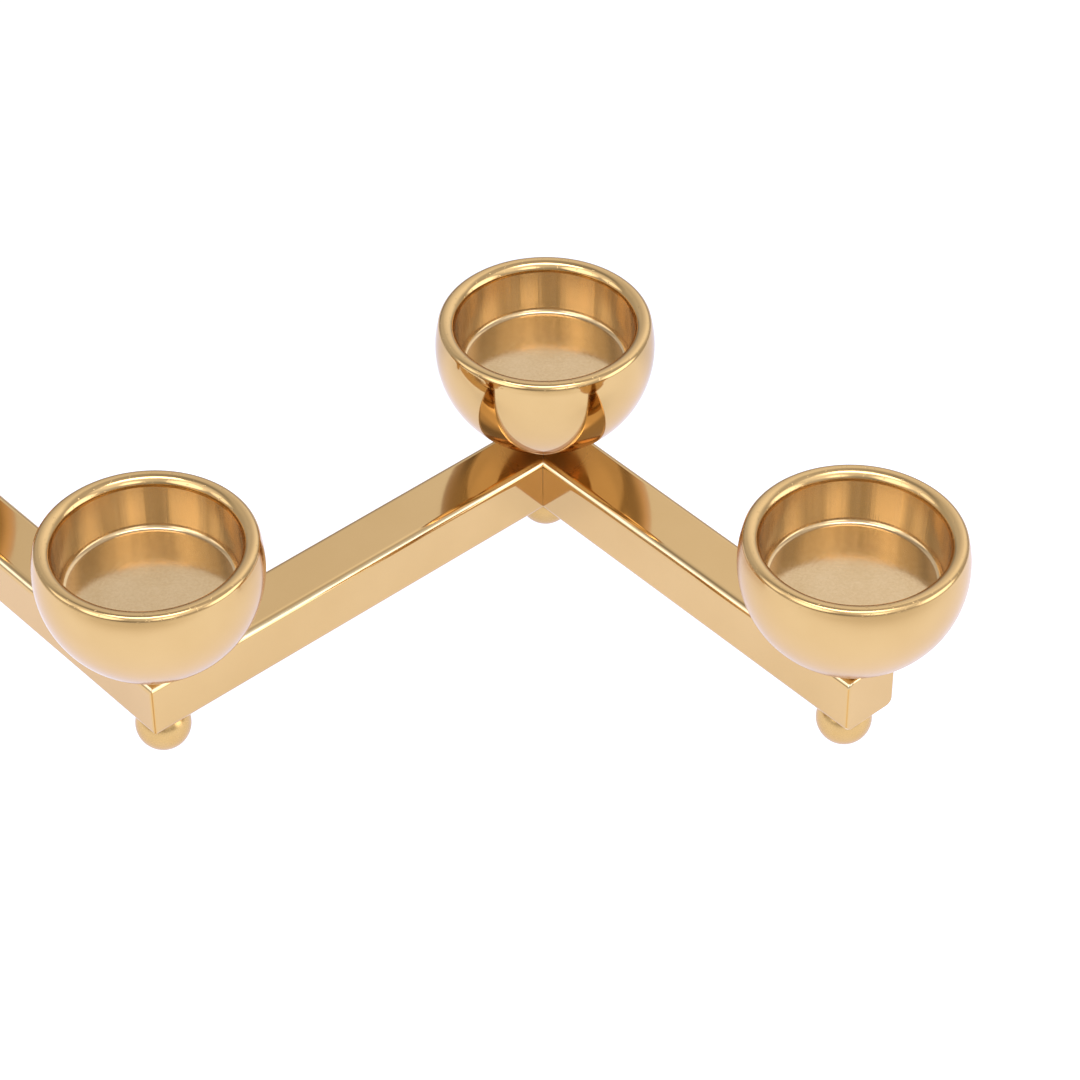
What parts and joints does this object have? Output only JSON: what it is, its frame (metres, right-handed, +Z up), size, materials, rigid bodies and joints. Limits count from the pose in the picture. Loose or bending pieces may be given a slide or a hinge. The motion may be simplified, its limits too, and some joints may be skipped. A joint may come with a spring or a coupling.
{
  "type": "tabletop candelabra",
  "caption": "Zigzag tabletop candelabra of mitred square brass tube on ball feet, with a round-bottomed tealight cup at each corner and end.",
  "frame": {"origin": "on the table under the middle of the zigzag, the centre of the bounding box's bottom", "axes": "+X along the zigzag towards the right-hand end, +Y to the back, +Z up"},
  "size_m": [0.2776, 0.1336, 0.0612],
  "materials": {
    "cup_brass": "polished, turned inside",
    "tube_brass": "polished",
    "foot_brass": "polished",
    "stud_steel": "zinc plated"
  },
  "bodies": {
    "root": {"cup_right_end": "cup_brass", "foot_right_end": "foot_brass", "stud_right_end": "stud_steel", "cup_rear_corner": "cup_brass", "foot_rear_corner": "foot_brass", "stud_rear_corner": "stud_steel", "cup_front_corner": "cup_brass", "foot_front_corner": "foot_brass", "stud_front_corner": "stud_steel", "cup_left_end": "cup_brass", "foot_left_end": "foot_brass", "stud_left_end": "stud_steel", "tube_middle": "tube_brass", "tube_right": "tube_brass", "tube_left": "tube_brass", "end_cap_right": "tube_brass", "end_cap_left": "tube_brass"}
  },
  "joints": []
}
